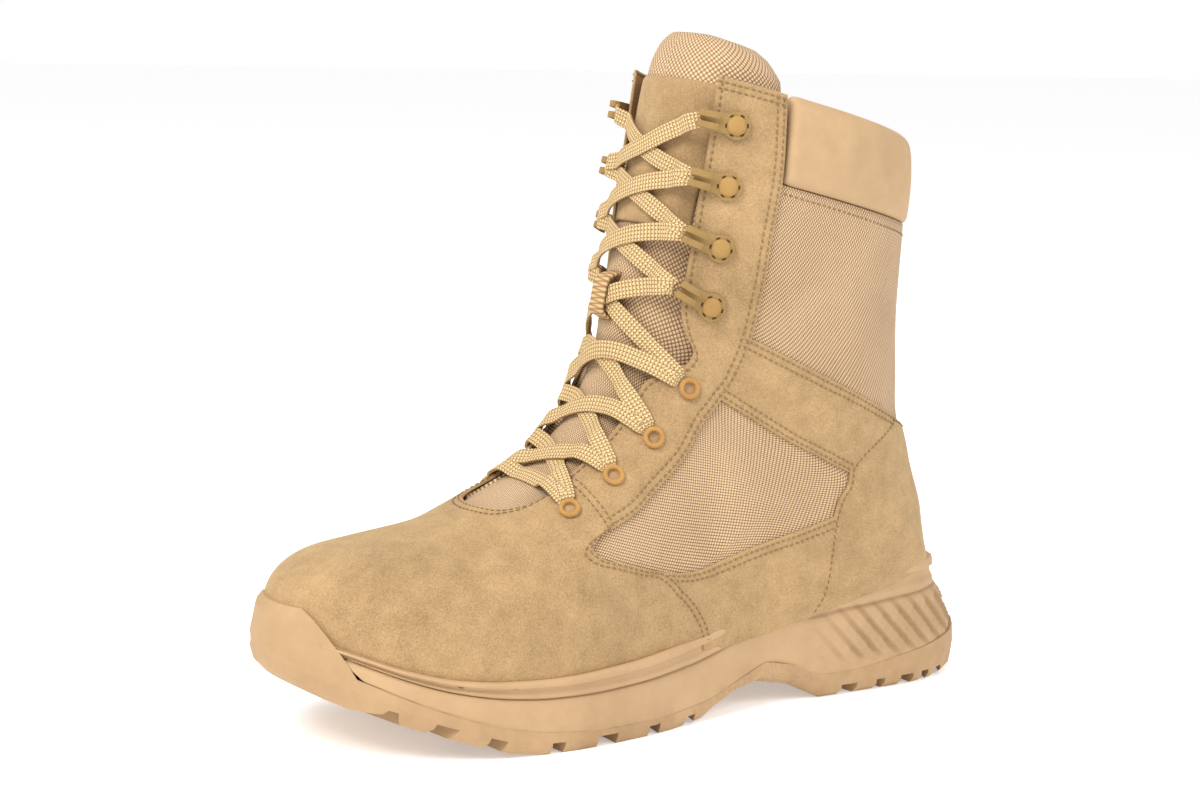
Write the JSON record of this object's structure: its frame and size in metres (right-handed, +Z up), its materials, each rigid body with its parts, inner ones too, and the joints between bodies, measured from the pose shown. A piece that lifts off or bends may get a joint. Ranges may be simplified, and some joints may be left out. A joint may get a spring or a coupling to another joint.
{
  "type": "combat boot",
  "caption": "Left combat boot in sand suede and woven nylon, with a lace front, a padded collar, an inner side zip with a strap, and a lugged rubber sole.",
  "frame": {"origin": "middle of the heel's resting face, on the floor", "axes": "+X from heel to toe, +Y to the wearer's left (the outer side), +Z up"},
  "size_m": [0.317, 0.1089, 0.2618],
  "materials": {
    "rubber": "matte",
    "foam": "matte",
    "sockliner": "matte",
    "shell": "matte",
    "suede": "matte",
    "collar": "satin",
    "tongue": "matte",
    "zip": "matte",
    "metal": "satin",
    "lace": "matte",
    "brass": "satin",
    "hook": "satin"
  },
  "bodies": {
    "boot": {"outsole": "rubber", "midsole": "foam", "insole": "sockliner", "upper": "shell", "tongue": "tongue", "collar_main": "collar", "collar_front": "collar", "zip": "zip", "zip_slider": "metal", "zip_strap": "suede", "lace": "lace", "lace_keeper": "lace", "eyelet_lateral_1": "brass", "eyelet_lateral_2": "brass", "eyelet_lateral_3": "brass", "eyelet_lateral_4": "brass", "eyelet_medial_1": "brass", "eyelet_medial_2": "brass", "eyelet_medial_3": "brass", "eyelet_medial_4": "brass", "hook_lateral_1": "hook", "hook_lateral_2": "hook", "hook_lateral_3": "hook", "hook_lateral_4": "hook", "hook_medial_1": "hook", "hook_medial_2": "hook", "hook_medial_3": "hook", "hook_medial_4": "hook"},
    "zip_pull": {"zip_pull": "metal"}
  },
  "joints": [
    {"name": "zip_pull_hinge", "type": "hinge", "parent": "boot", "child": "zip_pull", "pos_m": [0.02915, -0.04456, 0.22704], "axis": [0.9719, -0.2029, 0.1192], "range_deg": [-4, 8]}
  ]
}
